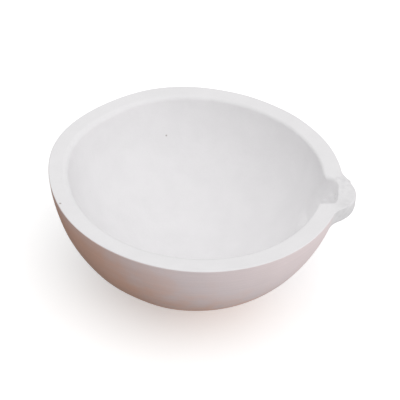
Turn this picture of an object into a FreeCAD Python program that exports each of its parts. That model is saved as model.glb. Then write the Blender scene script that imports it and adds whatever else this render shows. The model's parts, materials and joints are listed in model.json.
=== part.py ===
import FreeCAD, Part
import math
import os

# Evaporating dish: one thick-walled piece of matte ceramic. The outer wall and the cavity are both
# parts of spheres, the rim is flat, a small lip with a pouring channel stands out from the rim, and
# the dish rests on a flat on its bottom. All lengths are in millimetres. The origin is the centre of
# the flat bottom, +Z is up and the lip points along +X.

# Bowl
RIM_DIAMETER = 120.0
HEIGHT = 50.0
OUTER_CENTRE_RISE = 5.1         # centre of the outer sphere above the rim
CAVITY_DIAMETER = 104.4         # cavity at the rim, before its edge is rounded
FLOOR_THICKNESS = 7.5

# Lip
LIP_REACH = 65.8                # from the dish's axis to the lip's tip
LIP_RADIUS = 13.0               # the lip's round end, seen from above
LIP_CORNER_RADIUS = 6.0         # hollow corners between the lip and the bowl, seen from above
LIP_THICKNESS = 6.7             # at the tip
LIP_UNDERSIDE_SLOPE = 2.0       # degrees, falling towards the bowl
LIP_UNDERSIDE_ROUND = 3.5       # hollow corner between the underside and the bowl's wall
LIP_ROOT = 50.0                 # the lip's block starts this far out, inside the wall
LIP_BLOCK_DEPTH = 14.0          # and reaches this far down, past the underside

# Pouring channel: half-ellipses across the lip, each (distance from the axis, half width, depth)
CHANNEL_SECTIONS = (
    (44.0, 9.0, 15.4),
    (58.3, 7.6, 1.1),
    (68.0, 6.0, 0.6),
)
CHANNEL_HEADROOM = 5.0          # the channel's cutter stands this far above the rim

# Edge roundings
INNER_EDGE_ROUND = 2.0
OUTER_EDGE_ROUND = 0.6
LIP_LOWER_EDGE_ROUND = 0.8
BASE_EDGE_ROUND = 1.5

OVERLAP = 0.05                  # where one surface would only touch another, it crosses it by this
SAME = 0.001                    # places closer than this count as one

RIM_RADIUS = RIM_DIAMETER / 2
OUTER_RADIUS = math.hypot(RIM_RADIUS, OUTER_CENTRE_RISE)
OUTER_CENTRE_HEIGHT = HEIGHT + OUTER_CENTRE_RISE
BASE_RADIUS = math.sqrt(OUTER_RADIUS ** 2 - OUTER_CENTRE_HEIGHT ** 2)
CAVITY_DEPTH = HEIGHT - FLOOR_THICKNESS
CAVITY_RADIUS = ((CAVITY_DIAMETER / 2) ** 2 + CAVITY_DEPTH ** 2) / (2 * CAVITY_DEPTH)
CAVITY_CENTRE_HEIGHT = FLOOR_THICKNESS + CAVITY_RADIUS

UP = FreeCAD.Vector(0, 0, 1)
ORIGIN = FreeCAD.Vector(0, 0, 0)


def point(x, y, z):
    return FreeCAD.Vector(x, y, z)


def on_circle(centre, radius, towards):
    """The point of a circle that lies in the direction of another point."""
    return centre + (towards - centre).normalize() * radius


def arc(start, end, centre, radius):
    """The short arc of a circle between two of its points."""
    return Part.Arc(start, on_circle(centre, radius, (start + end) * 0.5), end).toShape()


def polyline(*places):
    """Straight edges from each place to the next."""
    return [Part.makeLine(start, end) for start, end in zip(places, places[1:])]


def solid_of_revolution(edges):
    """A closed half profile, drawn in the XZ plane, turned around the dish's axis."""
    return Part.Face(Part.Wire(edges)).revolve(ORIGIN, UP, 360)


def level_edges(shape, height, nearest, farthest):
    """The edges at one height whose ends lie between two distances from the axis."""
    found = []
    for edge in shape.Edges:
        ends = [vertex.Point for vertex in edge.Vertexes]
        level = all(abs(end.z - height) < SAME for end in ends)
        within = all(nearest <= math.hypot(end.x, end.y) <= farthest for end in ends)
        if level and within:
            found.append(edge)
    return found


def edges_through(shape, place):
    """The edges that pass through a place."""
    mark = Part.Vertex(place)
    return [edge for edge in shape.Edges if edge.distToShape(mark)[0] < SAME]


def wall_radius(height):
    """The outer wall's distance from the axis at one height."""
    return math.sqrt(OUTER_RADIUS ** 2 - (OUTER_CENTRE_HEIGHT - height) ** 2)


def make_bowl():
    """The bowl before it is hollowed: a sphere cut flat at the base and at the rim."""
    base_edge = point(BASE_RADIUS, 0, 0)
    rim_edge = point(RIM_RADIUS, 0, HEIGHT)
    wall = arc(base_edge, rim_edge, point(0, 0, OUTER_CENTRE_HEIGHT), OUTER_RADIUS)
    bowl = solid_of_revolution(
        polyline(ORIGIN, base_edge) + [wall] + polyline(rim_edge, point(0, 0, HEIGHT), ORIGIN))
    bowl = bowl.makeFillet(BASE_EDGE_ROUND, level_edges(bowl, 0, 0, RIM_RADIUS))
    return bowl.makeFillet(OUTER_EDGE_ROUND, level_edges(bowl, HEIGHT, SAME, RIM_RADIUS + SAME))


def make_lip_outline(height):
    """The lip seen from above: a round end, with hollow corners that run into the bowl's wall."""
    axis = point(0, 0, height)
    tip = point(LIP_REACH, 0, height)
    lip_centre = point(LIP_REACH - LIP_RADIUS, 0, height)
    to_wall = wall_radius(height) + LIP_CORNER_RADIUS - OVERLAP
    to_lip = LIP_RADIUS + LIP_CORNER_RADIUS
    corner_x = (to_wall ** 2 + lip_centre.x ** 2 - to_lip ** 2) / (2 * lip_centre.x)
    corner_y = math.sqrt(to_wall ** 2 - corner_x ** 2)
    near = point(corner_x, -corner_y, height)
    far = point(corner_x, corner_y, height)
    near_wall = on_circle(near, LIP_CORNER_RADIUS, axis)
    near_lip = on_circle(near, LIP_CORNER_RADIUS, lip_centre)
    far_lip = on_circle(far, LIP_CORNER_RADIUS, lip_centre)
    far_wall = on_circle(far, LIP_CORNER_RADIUS, axis)
    root = polyline(
        far_wall,
        point(LIP_ROOT, far_wall.y, height),
        point(LIP_ROOT, near_wall.y, height),
        near_wall)
    return Part.Wire([
        arc(near_wall, near_lip, near, LIP_CORNER_RADIUS),
        Part.Arc(near_lip, tip, far_lip).toShape(),
        arc(far_lip, far_wall, far, LIP_CORNER_RADIUS),
        *root,
    ])


def make_space_above_underside():
    """The space between the rim's plane and the lip's underside, which bends down into the wall.

    Its seam is turned to the side away from the lip, so that the lip's lower edge stays one edge.
    """
    slope = math.radians(LIP_UNDERSIDE_SLOPE)
    outward = point(math.cos(slope), 0, math.sin(slope))
    downward = point(math.sin(slope), 0, -math.cos(slope))
    sphere_centre = point(0, 0, OUTER_CENTRE_HEIGHT)
    tip = point(LIP_REACH, 0, HEIGHT - LIP_THICKNESS)
    below_tip = tip + downward * LIP_UNDERSIDE_ROUND - sphere_centre
    to_corner = OUTER_RADIUS + LIP_UNDERSIDE_ROUND - OVERLAP
    inward = below_tip.dot(outward) - math.sqrt(to_corner ** 2 - below_tip.dot(downward) ** 2)
    corner = sphere_centre + below_tip - outward * inward
    at_wall = on_circle(corner, LIP_UNDERSIDE_ROUND, sphere_centre)
    at_underside = corner - downward * LIP_UNDERSIDE_ROUND
    past_tip = tip + outward * LIP_THICKNESS
    bend = arc(at_wall, at_underside, corner, LIP_UNDERSIDE_ROUND)
    above_past_tip = point(past_tip.x, 0, HEIGHT)
    below_rim = point(0, 0, at_wall.z)
    outline = polyline(at_underside, past_tip, above_past_tip, point(0, 0, HEIGHT), below_rim, at_wall)
    return solid_of_revolution([bend] + outline).rotate(ORIGIN, UP, 180)


def make_lip():
    """A block whose sides follow the bowl's wall downwards, cut off by the lip's underside."""
    heights = (HEIGHT, HEIGHT - LIP_THICKNESS, HEIGHT - LIP_BLOCK_DEPTH)
    block = Part.makeLoft([make_lip_outline(height) for height in heights], True)
    lip = block.common(make_space_above_underside())
    lip = lip.makeFillet(OUTER_EDGE_ROUND, level_edges(lip, HEIGHT, LIP_ROOT + LIP_THICKNESS, LIP_REACH))
    lower_tip = point(LIP_REACH, 0, HEIGHT - LIP_THICKNESS)
    return lip.makeFillet(LIP_LOWER_EDGE_ROUND, edges_through(lip, lower_tip))


def make_channel_section(distance, half_width, depth):
    """Across the lip: half an ellipse below the rim, closed by straight sides above it."""
    half_circle = Part.Arc(point(0, -1, 0), point(0, 0, -1), point(0, 1, 0)).toShape()
    stretch = FreeCAD.Matrix()
    stretch.scale(1, half_width, depth)
    stretch.move(distance, 0, HEIGHT)
    headroom = UP * CHANNEL_HEADROOM
    near = point(distance, -half_width, HEIGHT)
    far = point(distance, half_width, HEIGHT)
    return Part.Wire(
        [half_circle.transformGeometry(stretch)] + polyline(far, far + headroom, near + headroom, near))


def make_channel():
    """The pouring channel: steep where it leaves the cavity, then shallow across the lip."""
    sections = [make_channel_section(*section) for section in CHANNEL_SECTIONS]
    return Part.makeLoft(sections, True, True)


def make_dish():
    solid_dish = make_bowl().fuse(make_lip()).removeSplitter()
    cavity = Part.makeSphere(CAVITY_RADIUS, point(0, 0, CAVITY_CENTRE_HEIGHT))
    hollow_dish = solid_dish.cut(cavity)
    inner_edge = level_edges(hollow_dish, HEIGHT, SAME, CAVITY_DIAMETER / 2 + SAME)
    return hollow_dish.makeFillet(INNER_EDGE_ROUND, inner_edge).cut(make_channel())


os.makedirs("parts", exist_ok=True)
make_dish().exportStep("parts/dish.step")
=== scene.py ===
import json
import math

import bpy
import numpy as np
from mathutils import Matrix, Vector


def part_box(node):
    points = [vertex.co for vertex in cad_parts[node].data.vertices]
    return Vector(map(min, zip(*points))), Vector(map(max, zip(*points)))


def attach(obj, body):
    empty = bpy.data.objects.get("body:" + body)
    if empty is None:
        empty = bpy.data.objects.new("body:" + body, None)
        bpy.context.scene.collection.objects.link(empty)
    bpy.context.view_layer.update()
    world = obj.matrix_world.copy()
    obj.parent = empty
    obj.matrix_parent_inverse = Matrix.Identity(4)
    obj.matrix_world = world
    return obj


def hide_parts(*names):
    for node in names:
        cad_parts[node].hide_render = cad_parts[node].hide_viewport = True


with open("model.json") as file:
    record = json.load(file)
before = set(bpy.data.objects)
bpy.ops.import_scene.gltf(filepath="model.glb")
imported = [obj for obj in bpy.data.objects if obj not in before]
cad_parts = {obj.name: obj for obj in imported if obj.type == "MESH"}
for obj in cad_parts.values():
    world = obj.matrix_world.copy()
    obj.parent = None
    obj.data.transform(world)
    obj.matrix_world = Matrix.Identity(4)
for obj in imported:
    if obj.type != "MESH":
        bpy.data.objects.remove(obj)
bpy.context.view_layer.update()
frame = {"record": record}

# A thick-walled evaporating dish of matte ceramic on a pale studio floor. The dish is one piece: its
# surface is found by sending rays out of the middle of the wall to where the ceramic ends. The lip
# points along +X. Shapes are in metres, and the material works in millimetres.

DISH_LOW, DISH_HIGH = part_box("dish")
MM = 0.001
TINY = 1e-9
UP = Vector((0, 0, 1))

# Sizes that the CAD box gives
HEIGHT = DISH_HIGH.z
RIM_RADIUS = -DISH_LOW.x
LIP_REACH = DISH_HIGH.x

# Bowl, as in the CAD model
OUTER_CENTRE = HEIGHT + 5.1 * MM
OUTER_RADIUS = math.hypot(RIM_RADIUS, OUTER_CENTRE - HEIGHT)
CAVITY_RIM_RADIUS = 52.2 * MM
CAVITY_DEPTH = HEIGHT - 7.5 * MM
CAVITY_RADIUS = (CAVITY_RIM_RADIUS ** 2 + CAVITY_DEPTH ** 2) / (2 * CAVITY_DEPTH)
CAVITY_CENTRE = HEIGHT - CAVITY_DEPTH + CAVITY_RADIUS

# Lip: the CAD model's, with one size of hollow corner all round it
LIP_RADIUS = 13 * MM
LIP_CENTRE = LIP_REACH - LIP_RADIUS
LIP_THICKNESS = 6.7 * MM
LIP_SLOPE = math.radians(2)
LIP_HOLLOW = 2.3 * MM

# Pouring channel: the CAD model's, less regular. A groove crosses the lip and flares inwards, and a
# steep scoop leads down from it into the cavity.
CHANNEL_START = 43 * MM
CHANNEL_SHIFT = 0.8 * MM
CHANNEL_TIP_HALF_WIDTH = 5.8 * MM
CHANNEL_TIP_DEPTH = 0.5 * MM
CHANNEL_FLARE = 0.18
CHANNEL_BOXINESS = 3            # the section's power: 2 is half an ellipse, and more is squarer
SCOOP_END = 58.4 * MM
SCOOP_END_CURVE = 1.0 * MM
SCOOP_SKEW = 0.09
SCOOP_LENGTH = 11.4 * MM
SCOOP_DEPTH = 16.5 * MM
SCOOP_POWER = 0.8               # of the way in from the scoop's end: below 1, it starts off steepest

# Where the scoop's slope counts in the channel's distances, in half widths and depths of the section
SLOPE_HALF_WIDTH = 1.25         # beyond this it doesn't count
SLOPE_FADE = 0.25               # and it comes in over this, inwards
SLOPE_DEPTH = 1.2               # below this it counts no more than here
SLOPE_LIMITER = 0.01            # keeps the slope finite at the scoop's end

# Edges
INNER_EDGE = 1.5 * MM
INNER_EDGE_CHANGE = 0.4         # share by which it is sharper at the lip, and softer opposite it
OUTER_EDGE = 0.45 * MM
MOUTH_EDGE = 2.2 * MM
LIP_CHANNEL_EDGE = 1.1 * MM
SCOOP_EDGE_FADE = 7 * MM
LIP_LOWER_EDGE = 0.8 * MM
BASE_EDGE = 1.5 * MM

# A hand-made dish isn't quite round: (waves round the rim, share of the radius, direction of a crest)
UNEVENNESS = (
    (3, 0.0027, math.radians(39)),
    (4, 0.0028, math.radians(12.5)),
    (5, 0.0040, math.radians(30)),
    (6, 0.0018, math.radians(-6)),
    (7, 0.0022, math.radians(16)),
)

# Hand-finished surface: gentle lumps all over, turning rings outside and a rough patch at the lip
LUMP_WAVES = 16
LUMP_SIZE = 14 * MM
LUMP_HEIGHT = 0.07 * MM
RING_WIDTH = 1.6 * MM
RING_HEIGHT = 0.012 * MM
RING_SQUEEZE = 0.02             # places are squeezed sideways by this, so that the rings run level
RING_ONSET = 4                  # power of the way round the rim: the rings come in late
ROUGH_CENTRE = LIP_CENTRE + 4 * MM
ROUGH_SIZE = 2.0 * MM
ROUGH_HEIGHT = 0.09 * MM

# Rays start on a sphere in the middle of the wall, and a little further out at the lip
WALL_CORE_RADIUS = 58.4 * MM
WALL_CORE_CENTRE = 62.15 * MM
WALL_CORE_END = 56.1 * MM       # from the axis, below the rim
LIP_CORE_SHIFT = 2.4 * MM
LIP_CORE_WIDTH = math.radians(6.5)
LIP_CORE_ONSET = 4              # power of the way from the axis to the rim

# How many rays there are, and how much closer together they are at the lip
INNER_ROWS = 140
RIM_ROWS = 160
OUTER_ROWS = 160
COLUMNS = 760
LIP_DENSITY = 2.2
LIP_DENSITY_WIDTH = math.radians(20)
DENSITY_STEPS = 4001
MARCH_STEPS = 32                # along each ray, to where the ceramic ends

# The outer wall carries painted light, except close to the lip: a warm tint for light bounced up from a
# warm surface below, and a painted warm shade that grows along a direction and fades towards the back and
# a little towards the rim.
# Painted light: the warm tint paints light bounced up from a warm surface below
WALL_BOUNCE_COLOUR = (0.81, 0.705, 0.71, 1)
UNTINTED_RADIUS = 14 * MM
TINT_FADE = 6 * MM
# Painted warm shade, darkest on the left and low side of the outer wall
WARM_SHADE_COLOUR = (0.82, 0.52, 0.41, 1)
WARM_SHADE_DIRECTION = (-0.57, 0.63, -0.53)
WARM_SHADE_START = -68.0
WARM_SHADE_FULL = -31.0
WARM_SHADE_WANDER = 6.0              # its edge wanders by this
WARM_SHADE_BACK_FADE = (-30.0, 5.0)  # along Y
WARM_SHADE_RIM_FADE = (43.0, 50.0)   # along Z
WARM_SHADE_AT_RIM = 0.7

# Textures of the ceramic: patch sizes, shares by which they change the brightness, bump heights
CLOUD_SIZE = 9.0
CLOUD_SHADE = 0.015
MOTTLE_SIZE = 2.2
MOTTLE_BUMP = 0.05 * MM
MOTTLE_ROUGHNESS = (0.72, 0.86)
GRAIN_SIZE = 0.35
GRAIN_SHADE = 0.015
GRAIN_BUMP = 0.02 * MM
STREAK_SIZE = 0.8
STREAK_SHADE = 0.02
STREAK_BUMP = 0.03 * MM
SPECULAR = 0.2                  # unglazed, so it hardly shines

# Slow changes of brightness: along which axis, from and to where, and the share added at each end
LIP_SHADE = ("X", 57.0, 60.0, 0.0, -0.05)
# Painted shade that dims the rim's flat top
PAINTED_RIM_SHADE = ("Z", 48.5, 50.0, 0.0, -0.025)
# Painted shade darkening the outer wall towards the floor, with a little painted light higher up
PAINTED_WALL_SHADE = ("Z", 14.0, 36.0, -0.08, 0.03)
LIP_START = (56.0, 60.0)        # along X, where the lip's mottle comes in
LIP_MOTTLE_SHADE = (-0.035, 0.025)

# Specks: one in some cells of a pattern, and two large ones (place, radius)
SPECK_COLOUR = (0.42, 0.38, 0.36, 1)
SMALL_SPECK_CELL = 4.0
SMALL_SPECK_EDGE = (0.02, 0.05)  # in cells, from full to nothing
SMALL_SPECK_CHANCE = 0.14
SMALL_SPECK_DARKNESS = 0.5
LARGE_SPECKS = (
    ((-48.9, -32.1, 50.0), 0.6),
    ((-19.2, 42.0, 34.1), 0.6),
)
LARGE_SPECK_CORE = 0.4          # share of the radius that is fully dark

# Floor
FLOOR_WIDTH = 6.0
FLOOR_COLOUR = (0.93, 0.93, 0.93)
FLOOR_GLOW = 0.3                # keeps it pale in the dish's shadow
FLOOR_CLOUD_SIZE = 60.0

# Camera: degrees, with the azimuth from the lip's side, and a long lens
CAMERA_AZIMUTH = -83.51
CAMERA_ELEVATION = 39.58
CAMERA_ROLL = 4.26
CAMERA_DISTANCE = 595.5 * MM
CAMERA_AIM = Vector((1.02, 12.59, 25)) * MM
CAMERA_LENS = 126
CAMERA_SENSOR = 36

# Soft white glows of the studio: azimuth from the lip's side, elevation, strength
GLOWS = (
    (0, 90, 0.39),
    (0, 45, 0.68),
    (60, 45, 0.29),
    (120, 45, 0.27),
    (180, 45, 0.89),
    (300, 45, 0.49),
    (0, 8, 0.10),
    (300, 8, 0.76),
    (0, -35, 0.74),
    (90, -35, 0.42),
)
GLOW_FOCUS = 3.0                # power of the cosine of the angle from a glow's middle
BACKDROP_BRIGHTNESS = 0.95


def unit_vector(azimuth, elevation):
    """A direction from degrees round from +X and degrees up."""
    turn, rise = math.radians(azimuth), math.radians(elevation)
    return Vector((math.cos(turn) * math.cos(rise), math.sin(turn) * math.cos(rise), math.sin(rise)))


def round_cut(solid, outside, radius):
    """The ceramic left when what lies outside a second field is cut away, with a rounded edge."""
    past_edge = np.hypot(np.maximum(radius + solid, 0), np.maximum(radius + outside, 0))
    return np.minimum(-radius, np.maximum(solid, outside)) + past_edge


def round_join(one, other, radius):
    """Two solids joined, with a rounded hollow between them."""
    in_hollow = np.hypot(np.maximum(radius - one, 0), np.maximum(radius - other, 0))
    return np.maximum(radius, np.minimum(one, other)) - in_hollow


def channel_field(x, y, z):
    """The distance inside the pouring channel, roughly: a shallow groove in the lip, then a scoop.

    How far a place is inside the channel's section is divided by how fast that changes, with a
    little added to keep it off zero.
    """
    half_width = CHANNEL_TIP_HALF_WIDTH + CHANNEL_FLARE * (LIP_REACH - x)
    across = np.abs(y - CHANNEL_SHIFT) / half_width
    end = SCOOP_END - SCOOP_SKEW * y - SCOOP_END_CURVE * np.minimum(across, 1) ** 4
    in_scoop = np.clip((end - x) / SCOOP_LENGTH, 0, 1)
    depth = CHANNEL_TIP_DEPTH + SCOOP_DEPTH * in_scoop ** SCOOP_POWER
    slope = SCOOP_POWER * SCOOP_DEPTH / SCOOP_LENGTH * (in_scoop + SLOPE_LIMITER) ** (SCOOP_POWER - 1)
    slope = np.where(in_scoop > 0, slope, 0) * np.clip((SLOPE_HALF_WIDTH - across) / SLOPE_FADE, 0, 1)
    down = np.maximum(HEIGHT - z, 0) / depth
    section = (across ** CHANNEL_BOXINESS + down ** CHANNEL_BOXINESS) ** (1 / CHANNEL_BOXINESS) + TINY
    sideways = (across / section) ** (CHANNEL_BOXINESS - 1) / half_width
    downward = (down / section) ** (CHANNEL_BOXINESS - 1) / depth
    inward = downward * np.minimum(down, SLOPE_DEPTH) * slope
    steepness = np.hypot(np.hypot(sideways, downward), inward) + 1
    return np.minimum((1 - section) / steepness, x - CHANNEL_START)


def dish_field(x, y, z):
    """The distance to the dish's surface, roughly: below zero inside the ceramic."""
    from_axis = np.hypot(x, y)
    bowl = np.hypot(from_axis, z - OUTER_CENTRE) - OUTER_RADIUS
    lip_side = np.hypot(x - LIP_CENTRE, y) - LIP_RADIUS
    below_lip = (HEIGHT - LIP_THICKNESS - z) * math.cos(LIP_SLOPE) + (x - LIP_REACH) * math.sin(LIP_SLOPE)
    lip = round_cut(lip_side, below_lip, LIP_LOWER_EDGE)
    solid = round_join(bowl, lip, LIP_HOLLOW)
    solid = round_cut(solid, z - HEIGHT, OUTER_EDGE)
    solid = round_cut(solid, -z, BASE_EDGE)
    in_cavity = CAVITY_RADIUS - np.hypot(from_axis, z - CAVITY_CENTRE)
    inner_edge = INNER_EDGE * (1 - INNER_EDGE_CHANGE * x / (from_axis + TINY))
    solid = round_cut(solid, in_cavity, inner_edge)
    at_mouth = np.clip((SCOOP_END - x) / SCOOP_EDGE_FADE, 0, 1)
    channel_edge = LIP_CHANNEL_EDGE + (MOUTH_EDGE - LIP_CHANNEL_EDGE) * at_mouth
    return round_cut(solid, channel_field(x, y, z), channel_edge)


def column_azimuths():
    """Directions round the dish's axis, closer together at the lip."""
    fine = np.linspace(-math.pi, math.pi, DENSITY_STEPS)
    density = 1 + LIP_DENSITY * np.exp(-(fine / LIP_DENSITY_WIDTH) ** 2)
    walked = np.concatenate(([0], np.cumsum(density[1:])))
    return np.interp(np.arange(COLUMNS) / COLUMNS * walked[-1], walked, fine)


def wall_rays(azimuth):
    """Starts and directions, in each azimuth's half plane, of rays from the middle of the wall.

    They run from the centre of the cavity's floor, round the rim, to the centre of the base.
    """
    end_angle = math.asin(WALL_CORE_END / WALL_CORE_RADIUS)
    inner = np.linspace(0, 1, INNER_ROWS)
    outer = np.linspace(1, 0, OUTER_ROWS)
    along = np.concatenate((inner, np.ones(RIM_ROWS), outer))[:, None]
    lip_shift = LIP_CORE_SHIFT * np.exp(-(azimuth / LIP_CORE_WIDTH) ** 2)
    radius = WALL_CORE_RADIUS * np.sin(along * end_angle) + lip_shift * along ** LIP_CORE_ONSET
    height = np.broadcast_to(WALL_CORE_CENTRE - WALL_CORE_RADIUS * np.cos(along * end_angle), radius.shape)
    to_cavity = np.arctan2(CAVITY_CENTRE - height, -radius)
    from_outer = np.arctan2(height - OUTER_CENTRE, radius)
    round_rim = np.linspace(0, 1, RIM_ROWS + 2)[1:-1]
    turn = np.concatenate((np.zeros(INNER_ROWS), round_rim, np.ones(OUTER_ROWS)))[:, None]
    direction = to_cavity + (from_outer - to_cavity) * turn
    return radius, height, np.cos(direction), np.sin(direction)


def lumps(places, size, seed):
    """Smooth random ups and downs of about -1 to 1, each about the given size across."""
    random = np.random.default_rng(seed)
    waves = random.normal(size=(3, LUMP_WAVES))
    waves *= math.pi * random.uniform(0.7, 1.4, LUMP_WAVES) / (size * np.linalg.norm(waves, axis=0))
    phases = random.uniform(0, 2 * math.pi, LUMP_WAVES)
    return np.sin(places @ waves + phases).sum(axis=-1) / math.sqrt(2 * LUMP_WAVES)


def surface_relief(places, facing_out):
    """How far the hand-finished surface stands out: gentle lumps, turning rings and a rough lip."""
    x, y, z = np.moveaxis(places, -1, 0)
    rings = lumps(np.stack((RING_SQUEEZE * x, RING_SQUEEZE * y, z), axis=-1), RING_WIDTH, seed=3)
    near_lip = np.exp(-(((x - ROUGH_CENTRE) / LIP_RADIUS) ** 2 + (y / LIP_RADIUS) ** 2) ** 2)
    rough = lumps(places, ROUGH_SIZE, seed=5) + 0.5 * lumps(places, 0.5 * ROUGH_SIZE, seed=6)
    relief = LUMP_HEIGHT * lumps(places, LUMP_SIZE, seed=4)
    return relief + RING_HEIGHT * facing_out * rings + ROUGH_HEIGHT * near_lip * rough


def dish_points():
    """The surface's points: one row for each ray and one column for each azimuth."""
    azimuth = column_azimuths()
    radius, height, outward, upward = wall_rays(azimuth)

    def places(reach, widening=1.0):
        """The x, y and z that the rays come to, with the dish made wider by a factor."""
        from_axis = (radius + reach * outward) * widening
        return from_axis * np.cos(azimuth), from_axis * np.sin(azimuth), height + reach * upward

    reach = np.zeros_like(radius)
    for _ in range(MARCH_STEPS):
        reach = reach - dish_field(*places(reach))
    round_rim = np.clip((np.arange(len(radius)) - INNER_ROWS) / RIM_ROWS, 0, 1)[:, None]
    reach = reach + surface_relief(np.stack(places(reach), axis=-1), round_rim ** RING_ONSET)
    unevenness = sum(share * np.cos(waves * (azimuth - crest)) for waves, share, crest in UNEVENNESS)
    return np.stack(places(reach, 1 + unevenness), axis=-1)


def grid_faces(rows, columns):
    """Four-sided faces between the rows, and a fan of triangles at each pole."""
    first = 1 + np.arange(rows)[:, None] * columns
    here = first + np.arange(columns)
    after = first + (np.arange(columns) + 1) % columns
    quads = np.stack((here[:-1], after[:-1], after[1:], here[1:]), axis=2).reshape(-1, 4)
    top_fan = np.stack((np.zeros(columns, int), after[0], here[0]), axis=1)
    bottom = 1 + rows * columns
    bottom_fan = np.stack((np.full(columns, bottom), here[-1], after[-1]), axis=1)
    return quads[:, ::-1].tolist() + top_fan[:, ::-1].tolist() + bottom_fan[:, ::-1].tolist()


def add_attribute(mesh, name, values):
    """Stores one number for each point, for the material to read."""
    attribute = mesh.attributes.new(name, "FLOAT", "POINT")
    attribute.data.foreach_set("value", values.astype(np.float32))


def make_dish():
    """The dish's mesh, with the attribute "outer_wall": how much a point takes the outer wall's painted
    bounce light and shade.
    """
    grid = dish_points()
    points = np.concatenate((grid[:1, 0], np.concatenate(grid[1:-1]), grid[-1:, 0]))
    mesh = bpy.data.meshes.new("ceramic_dish")
    mesh.from_pydata(points.tolist(), [], grid_faces(len(grid) - 2, COLUMNS))
    mesh.validate()
    mesh.shade_smooth()
    normals = np.empty(points.size)
    mesh.vertex_normals.foreach_get("vector", normals)
    normals = normals.reshape(-1, 3)
    from_axis = np.hypot(points[:, 0], points[:, 1]) + TINY
    outward = (normals[:, :2] * points[:, :2]).sum(axis=1) / from_axis
    # Painted bounce light: the outer wall's warm tint is strongest where the surface faces out and down,
    # towards the floor
    faces_out = np.clip(outward - normals[:, 2], 0, 1)
    from_lip = np.linalg.norm(points - (LIP_CENTRE, 0, HEIGHT), axis=1)
    off_lip = np.clip((from_lip - UNTINTED_RADIUS) / TINT_FADE, 0, 1)
    add_attribute(mesh, "outer_wall", faces_out * off_lip)
    dish = bpy.data.objects.new("ceramic_dish", mesh)
    bpy.context.scene.collection.objects.link(dish)
    return dish


def wire(tree, socket, value):
    """Links a socket to another node's output, or gives it a plain value."""
    if isinstance(value, bpy.types.NodeSocket):
        tree.links.new(value, socket)
    else:
        socket.default_value = value


def add_math(tree, operation, first, second=0.0):
    node = tree.nodes.new("ShaderNodeMath")
    node.operation = operation
    wire(tree, node.inputs[0], first)
    wire(tree, node.inputs[1], second)
    return node.outputs["Value"]


def add_vector_math(tree, operation, output, first, second=(0.0, 0.0, 0.0)):
    node = tree.nodes.new("ShaderNodeVectorMath")
    node.operation = operation
    wire(tree, node.inputs[0], first)
    wire(tree, node.inputs[1], second)
    return node.outputs[output]


def add_step(tree, value, start, end, at_start=0.0, at_end=1.0):
    """A smooth change from one number to another while a value goes from start to end."""
    node = tree.nodes.new("ShaderNodeMapRange")
    node.interpolation_type = "SMOOTHSTEP"
    wire(tree, node.inputs["Value"], value)
    wire(tree, node.inputs["From Min"], start)
    wire(tree, node.inputs["From Max"], end)
    wire(tree, node.inputs["To Min"], at_start)
    wire(tree, node.inputs["To Max"], at_end)
    return node.outputs["Result"]


def add_noise(tree, place, size, detail=2.0, roughness=0.5):
    """Cloudy noise about 0.5, with patches of about the given size in millimetres."""
    node = tree.nodes.new("ShaderNodeTexNoise")
    wire(tree, node.inputs["Vector"], place)
    wire(tree, node.inputs["Scale"], 1 / size)
    wire(tree, node.inputs["Detail"], detail)
    wire(tree, node.inputs["Roughness"], roughness)
    return node.outputs["Fac"]


def add_mix(tree, share, first, second):
    node = tree.nodes.new("ShaderNodeMix")
    node.data_type = "RGBA"
    wire(tree, node.inputs["Factor"], share)
    wire(tree, node.inputs["A"], first)
    wire(tree, node.inputs["B"], second)
    return node.outputs["Result"]


def add_scale(tree, vector, factor):
    """A vector made longer, or a colour made lighter, by a factor."""
    node = tree.nodes.new("ShaderNodeVectorMath")
    node.operation = "SCALE"
    wire(tree, node.inputs[0], vector)
    wire(tree, node.inputs["Scale"], factor)
    return node.outputs["Vector"]


def add_place(tree):
    """The place on the object that is being shaded, in millimetres."""
    metres = tree.nodes.new("ShaderNodeTexCoord").outputs["Object"]
    return add_scale(tree, metres, 1 / MM)


def add_bump(tree, height, distance, normal=None):
    """Bumps whose highest points stand out by a distance in metres."""
    node = tree.nodes.new("ShaderNodeBump")
    wire(tree, node.inputs["Height"], height)
    wire(tree, node.inputs["Distance"], distance)
    if normal is not None:
        wire(tree, node.inputs["Normal"], normal)
    return node.outputs["Normal"]


def add_attribute_reader(tree, name):
    """The number that add_attribute stored for each point."""
    node = tree.nodes.new("ShaderNodeAttribute")
    node.attribute_name = name
    return node.outputs["Fac"]


def new_material(name):
    """An empty material, its node tree and its shader."""
    material = bpy.data.materials.new(name)
    material.use_nodes = True
    tree = material.node_tree
    return material, tree, tree.nodes["Principled BSDF"]


def add_specks(tree, place):
    """How dark a place is because of a speck, large or small."""
    cells = tree.nodes.new("ShaderNodeTexVoronoi")
    wire(tree, cells.inputs["Vector"], place)
    wire(tree, cells.inputs["Scale"], 1 / SMALL_SPECK_CELL)
    chosen = tree.nodes.new("ShaderNodeSeparateColor")
    wire(tree, chosen.inputs["Color"], cells.outputs["Color"])
    near = add_step(tree, cells.outputs["Distance"], *SMALL_SPECK_EDGE, 1, 0)
    strength = add_step(
        tree, chosen.outputs["Red"], 1 - SMALL_SPECK_CHANCE, 1.0, 0, SMALL_SPECK_DARKNESS)
    darkness = add_math(tree, "MULTIPLY", near, strength)
    for speck, radius in LARGE_SPECKS:
        away = add_vector_math(tree, "DISTANCE", "Value", place, speck)
        large = add_step(tree, away, LARGE_SPECK_CORE * radius, radius, 1, 0)
        darkness = add_math(tree, "MAXIMUM", darkness, large)
    return darkness


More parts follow.
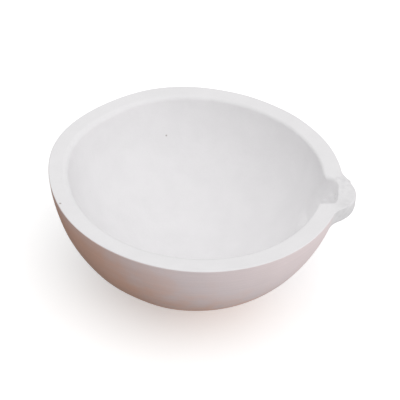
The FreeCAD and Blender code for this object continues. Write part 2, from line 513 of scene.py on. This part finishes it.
def add_painted_wall_light(tree, place, axes, clouds):
    """The outer wall's painted light: a warm tint for light bounced up from below, and a painted warm
    shade whose edge wanders with the clouds.
    """
    along = add_vector_math(tree, "DOT_PRODUCT", "Value", place, WARM_SHADE_DIRECTION)
    wander = add_step(tree, clouds, 0.2, 0.8, -WARM_SHADE_WANDER, WARM_SHADE_WANDER)
    warm_shade = add_step(tree, add_math(tree, "ADD", along, wander), WARM_SHADE_START, WARM_SHADE_FULL)
    off_back = add_step(tree, axes["Y"], *WARM_SHADE_BACK_FADE, 1.0, 0.0)
    off_rim = add_step(tree, axes["Z"], *WARM_SHADE_RIM_FADE, 1.0, WARM_SHADE_AT_RIM)
    warm_shade = add_math(tree, "MULTIPLY", warm_shade, off_back)
    warm_shade = add_math(tree, "MULTIPLY", warm_shade, off_rim)
    return add_mix(tree, warm_shade, WALL_BOUNCE_COLOUR, WARM_SHADE_COLOUR)


def add_slow_shade(tree, axes, shade):
    """One of the slow changes of brightness."""
    axis, start, end, at_start, at_end = shade
    return add_step(tree, axes[axis], start, end, at_start, at_end)


def add_brightness(tree, axes, outside, clouds, mottle, grain, streaks):
    """The factor by which the ceramic is lighter or darker than its plain colour, painted shade included.

    Each noise is stretched from the range that it mostly stays in.
    """
    cloudy = add_step(tree, clouds, 0.25, 0.75, 1 - CLOUD_SHADE, 1 + CLOUD_SHADE)
    grainy = add_step(tree, grain, 0.2, 0.8, 1 - GRAIN_SHADE, 1 + GRAIN_SHADE)
    lip_mottle = add_step(tree, mottle, 0.3, 0.7, *LIP_MOTTLE_SHADE)
    streaky = add_step(tree, streaks, 0.3, 0.7, -STREAK_SHADE, STREAK_SHADE)
    # The outer wall's turning streaks, with painted shade towards the floor
    on_wall = add_math(tree, "ADD", streaky, add_slow_shade(tree, axes, PAINTED_WALL_SHADE))
    changes = (
        add_math(tree, "MULTIPLY", add_step(tree, axes["X"], *LIP_START), lip_mottle),
        add_slow_shade(tree, axes, LIP_SHADE),
        add_slow_shade(tree, axes, PAINTED_RIM_SHADE),
        add_math(tree, "MULTIPLY", outside, on_wall),
    )
    brightness = add_math(tree, "MULTIPLY", cloudy, grainy)
    for change in changes:
        brightness = add_math(tree, "ADD", brightness, change)
    return brightness


def make_ceramic():
    """Matte white ceramic: a fine grain, faint clouds and specks, and a turned outer wall with painted
    warm bounce light and shade.
    """
    material, tree, shader = new_material("matte_ceramic")
    place = add_place(tree)
    split = tree.nodes.new("ShaderNodeSeparateXYZ")
    wire(tree, split.inputs["Vector"], place)
    axes = split.outputs
    outside = add_attribute_reader(tree, "outer_wall")
    clouds = add_noise(tree, place, CLOUD_SIZE, 3.0)
    mottle = add_noise(tree, place, MOTTLE_SIZE)
    grain = add_noise(tree, place, GRAIN_SIZE)
    squeeze = (RING_SQUEEZE, RING_SQUEEZE, 1.0)
    level = add_vector_math(tree, "MULTIPLY", "Vector", place, squeeze)
    streaks = add_noise(tree, level, STREAK_SIZE, 3.0, 0.6)

    slots = {slot["slot"]: slot for slot in frame["record"]["materials"]}
    inside_colour = tuple(slots["ceramic"]["base_color"][:3]) + (1,)
    # The outer wall takes painted warm bounce light and painted warm shade
    colour = add_mix(tree, outside, inside_colour, add_painted_wall_light(tree, place, axes, clouds))
    brightness = add_brightness(tree, axes, outside, clouds, mottle, grain, streaks)
    colour = add_scale(tree, colour, brightness)
    colour = add_mix(tree, add_specks(tree, place), colour, SPECK_COLOUR)
    wire(tree, shader.inputs["Base Color"], colour)

    wire(tree, shader.inputs["Roughness"], add_step(tree, mottle, 0.3, 0.7, *MOTTLE_ROUGHNESS))
    wire(tree, shader.inputs["Specular IOR Level"], SPECULAR)
    normal = add_bump(tree, add_math(tree, "MULTIPLY", streaks, outside), STREAK_BUMP)
    normal = add_bump(tree, mottle, MOTTLE_BUMP, normal)
    normal = add_bump(tree, grain, GRAIN_BUMP, normal)
    wire(tree, shader.inputs["Normal"], normal)
    return material


def make_floor():
    """A wide pale floor. It shows the dish's shadow but neither lights nor shades the dish."""
    half = FLOOR_WIDTH / 2
    corners = [(-half, -half, 0), (half, -half, 0), (half, half, 0), (-half, half, 0)]
    mesh = bpy.data.meshes.new("floor")
    mesh.from_pydata(corners, [], [(0, 1, 2, 3)])
    floor = bpy.data.objects.new("floor", mesh)
    bpy.context.scene.collection.objects.link(floor)
    material, tree, shader = new_material("pale_floor")
    clouds = add_noise(tree, add_place(tree), FLOOR_CLOUD_SIZE, 3.0)
    brightness = add_step(tree, clouds, 0.3, 0.7, 0.985, 1.0)
    wire(tree, shader.inputs["Base Color"], add_scale(tree, FLOOR_COLOUR, brightness))
    wire(tree, shader.inputs["Roughness"], 0.9)
    wire(tree, shader.inputs["Emission Color"], (1.0, 1.0, 1.0, 1.0))
    wire(tree, shader.inputs["Emission Strength"], FLOOR_GLOW)
    mesh.materials.append(material)
    floor.visible_diffuse = False
    floor.visible_glossy = False
    floor.visible_shadow = False


def make_studio_light():
    """Soft light from all round: each glow is brightest in one direction and fades away from it.

    The camera sees a plain pale backdrop instead.
    """
    world = bpy.data.worlds.new("studio")
    world.use_nodes = True
    tree = world.node_tree
    looking = tree.nodes.new("ShaderNodeTexCoord").outputs["Generated"]
    light = 0.0
    for azimuth, elevation, strength in GLOWS:
        towards = unit_vector(azimuth, elevation)
        facing = add_vector_math(tree, "DOT_PRODUCT", "Value", looking, towards)
        glow = add_math(tree, "POWER", add_math(tree, "MAXIMUM", facing, 0.0), GLOW_FOCUS)
        light = add_math(tree, "ADD", light, add_math(tree, "MULTIPLY", glow, strength))
    seen = tree.nodes.new("ShaderNodeLightPath").outputs["Is Camera Ray"]
    brightness = add_step(tree, seen, 0.0, 1.0, light, BACKDROP_BRIGHTNESS)
    wire(tree, tree.nodes["Background"].inputs["Color"], (1.0, 1.0, 1.0, 1.0))
    wire(tree, tree.nodes["Background"].inputs["Strength"], brightness)
    bpy.context.scene.world = world


def make_camera():
    """A camera at the photograph's angle, turned a little round its own line of sight."""
    back = unit_vector(CAMERA_AZIMUTH, CAMERA_ELEVATION)
    level = UP.cross(back).normalized()
    right = Matrix.Rotation(math.radians(CAMERA_ROLL), 3, back) @ level
    rotation = Matrix((right, back.cross(right), back)).transposed()
    camera = bpy.data.objects.new("camera", bpy.data.cameras.new("camera"))
    bpy.context.scene.collection.objects.link(camera)
    camera.data.lens = CAMERA_LENS
    camera.data.sensor_width = CAMERA_SENSOR
    camera.data.clip_start = 0.01
    camera.matrix_world = Matrix.Translation(CAMERA_AIM + back * CAMERA_DISTANCE) @ rotation.to_4x4()
    bpy.context.scene.camera = camera


dish = make_dish()
dish.data.materials.append(make_ceramic())
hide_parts("dish")
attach(dish, "root")
make_floor()
make_studio_light()
make_camera()
bpy.context.scene.view_settings.view_transform = "Standard"
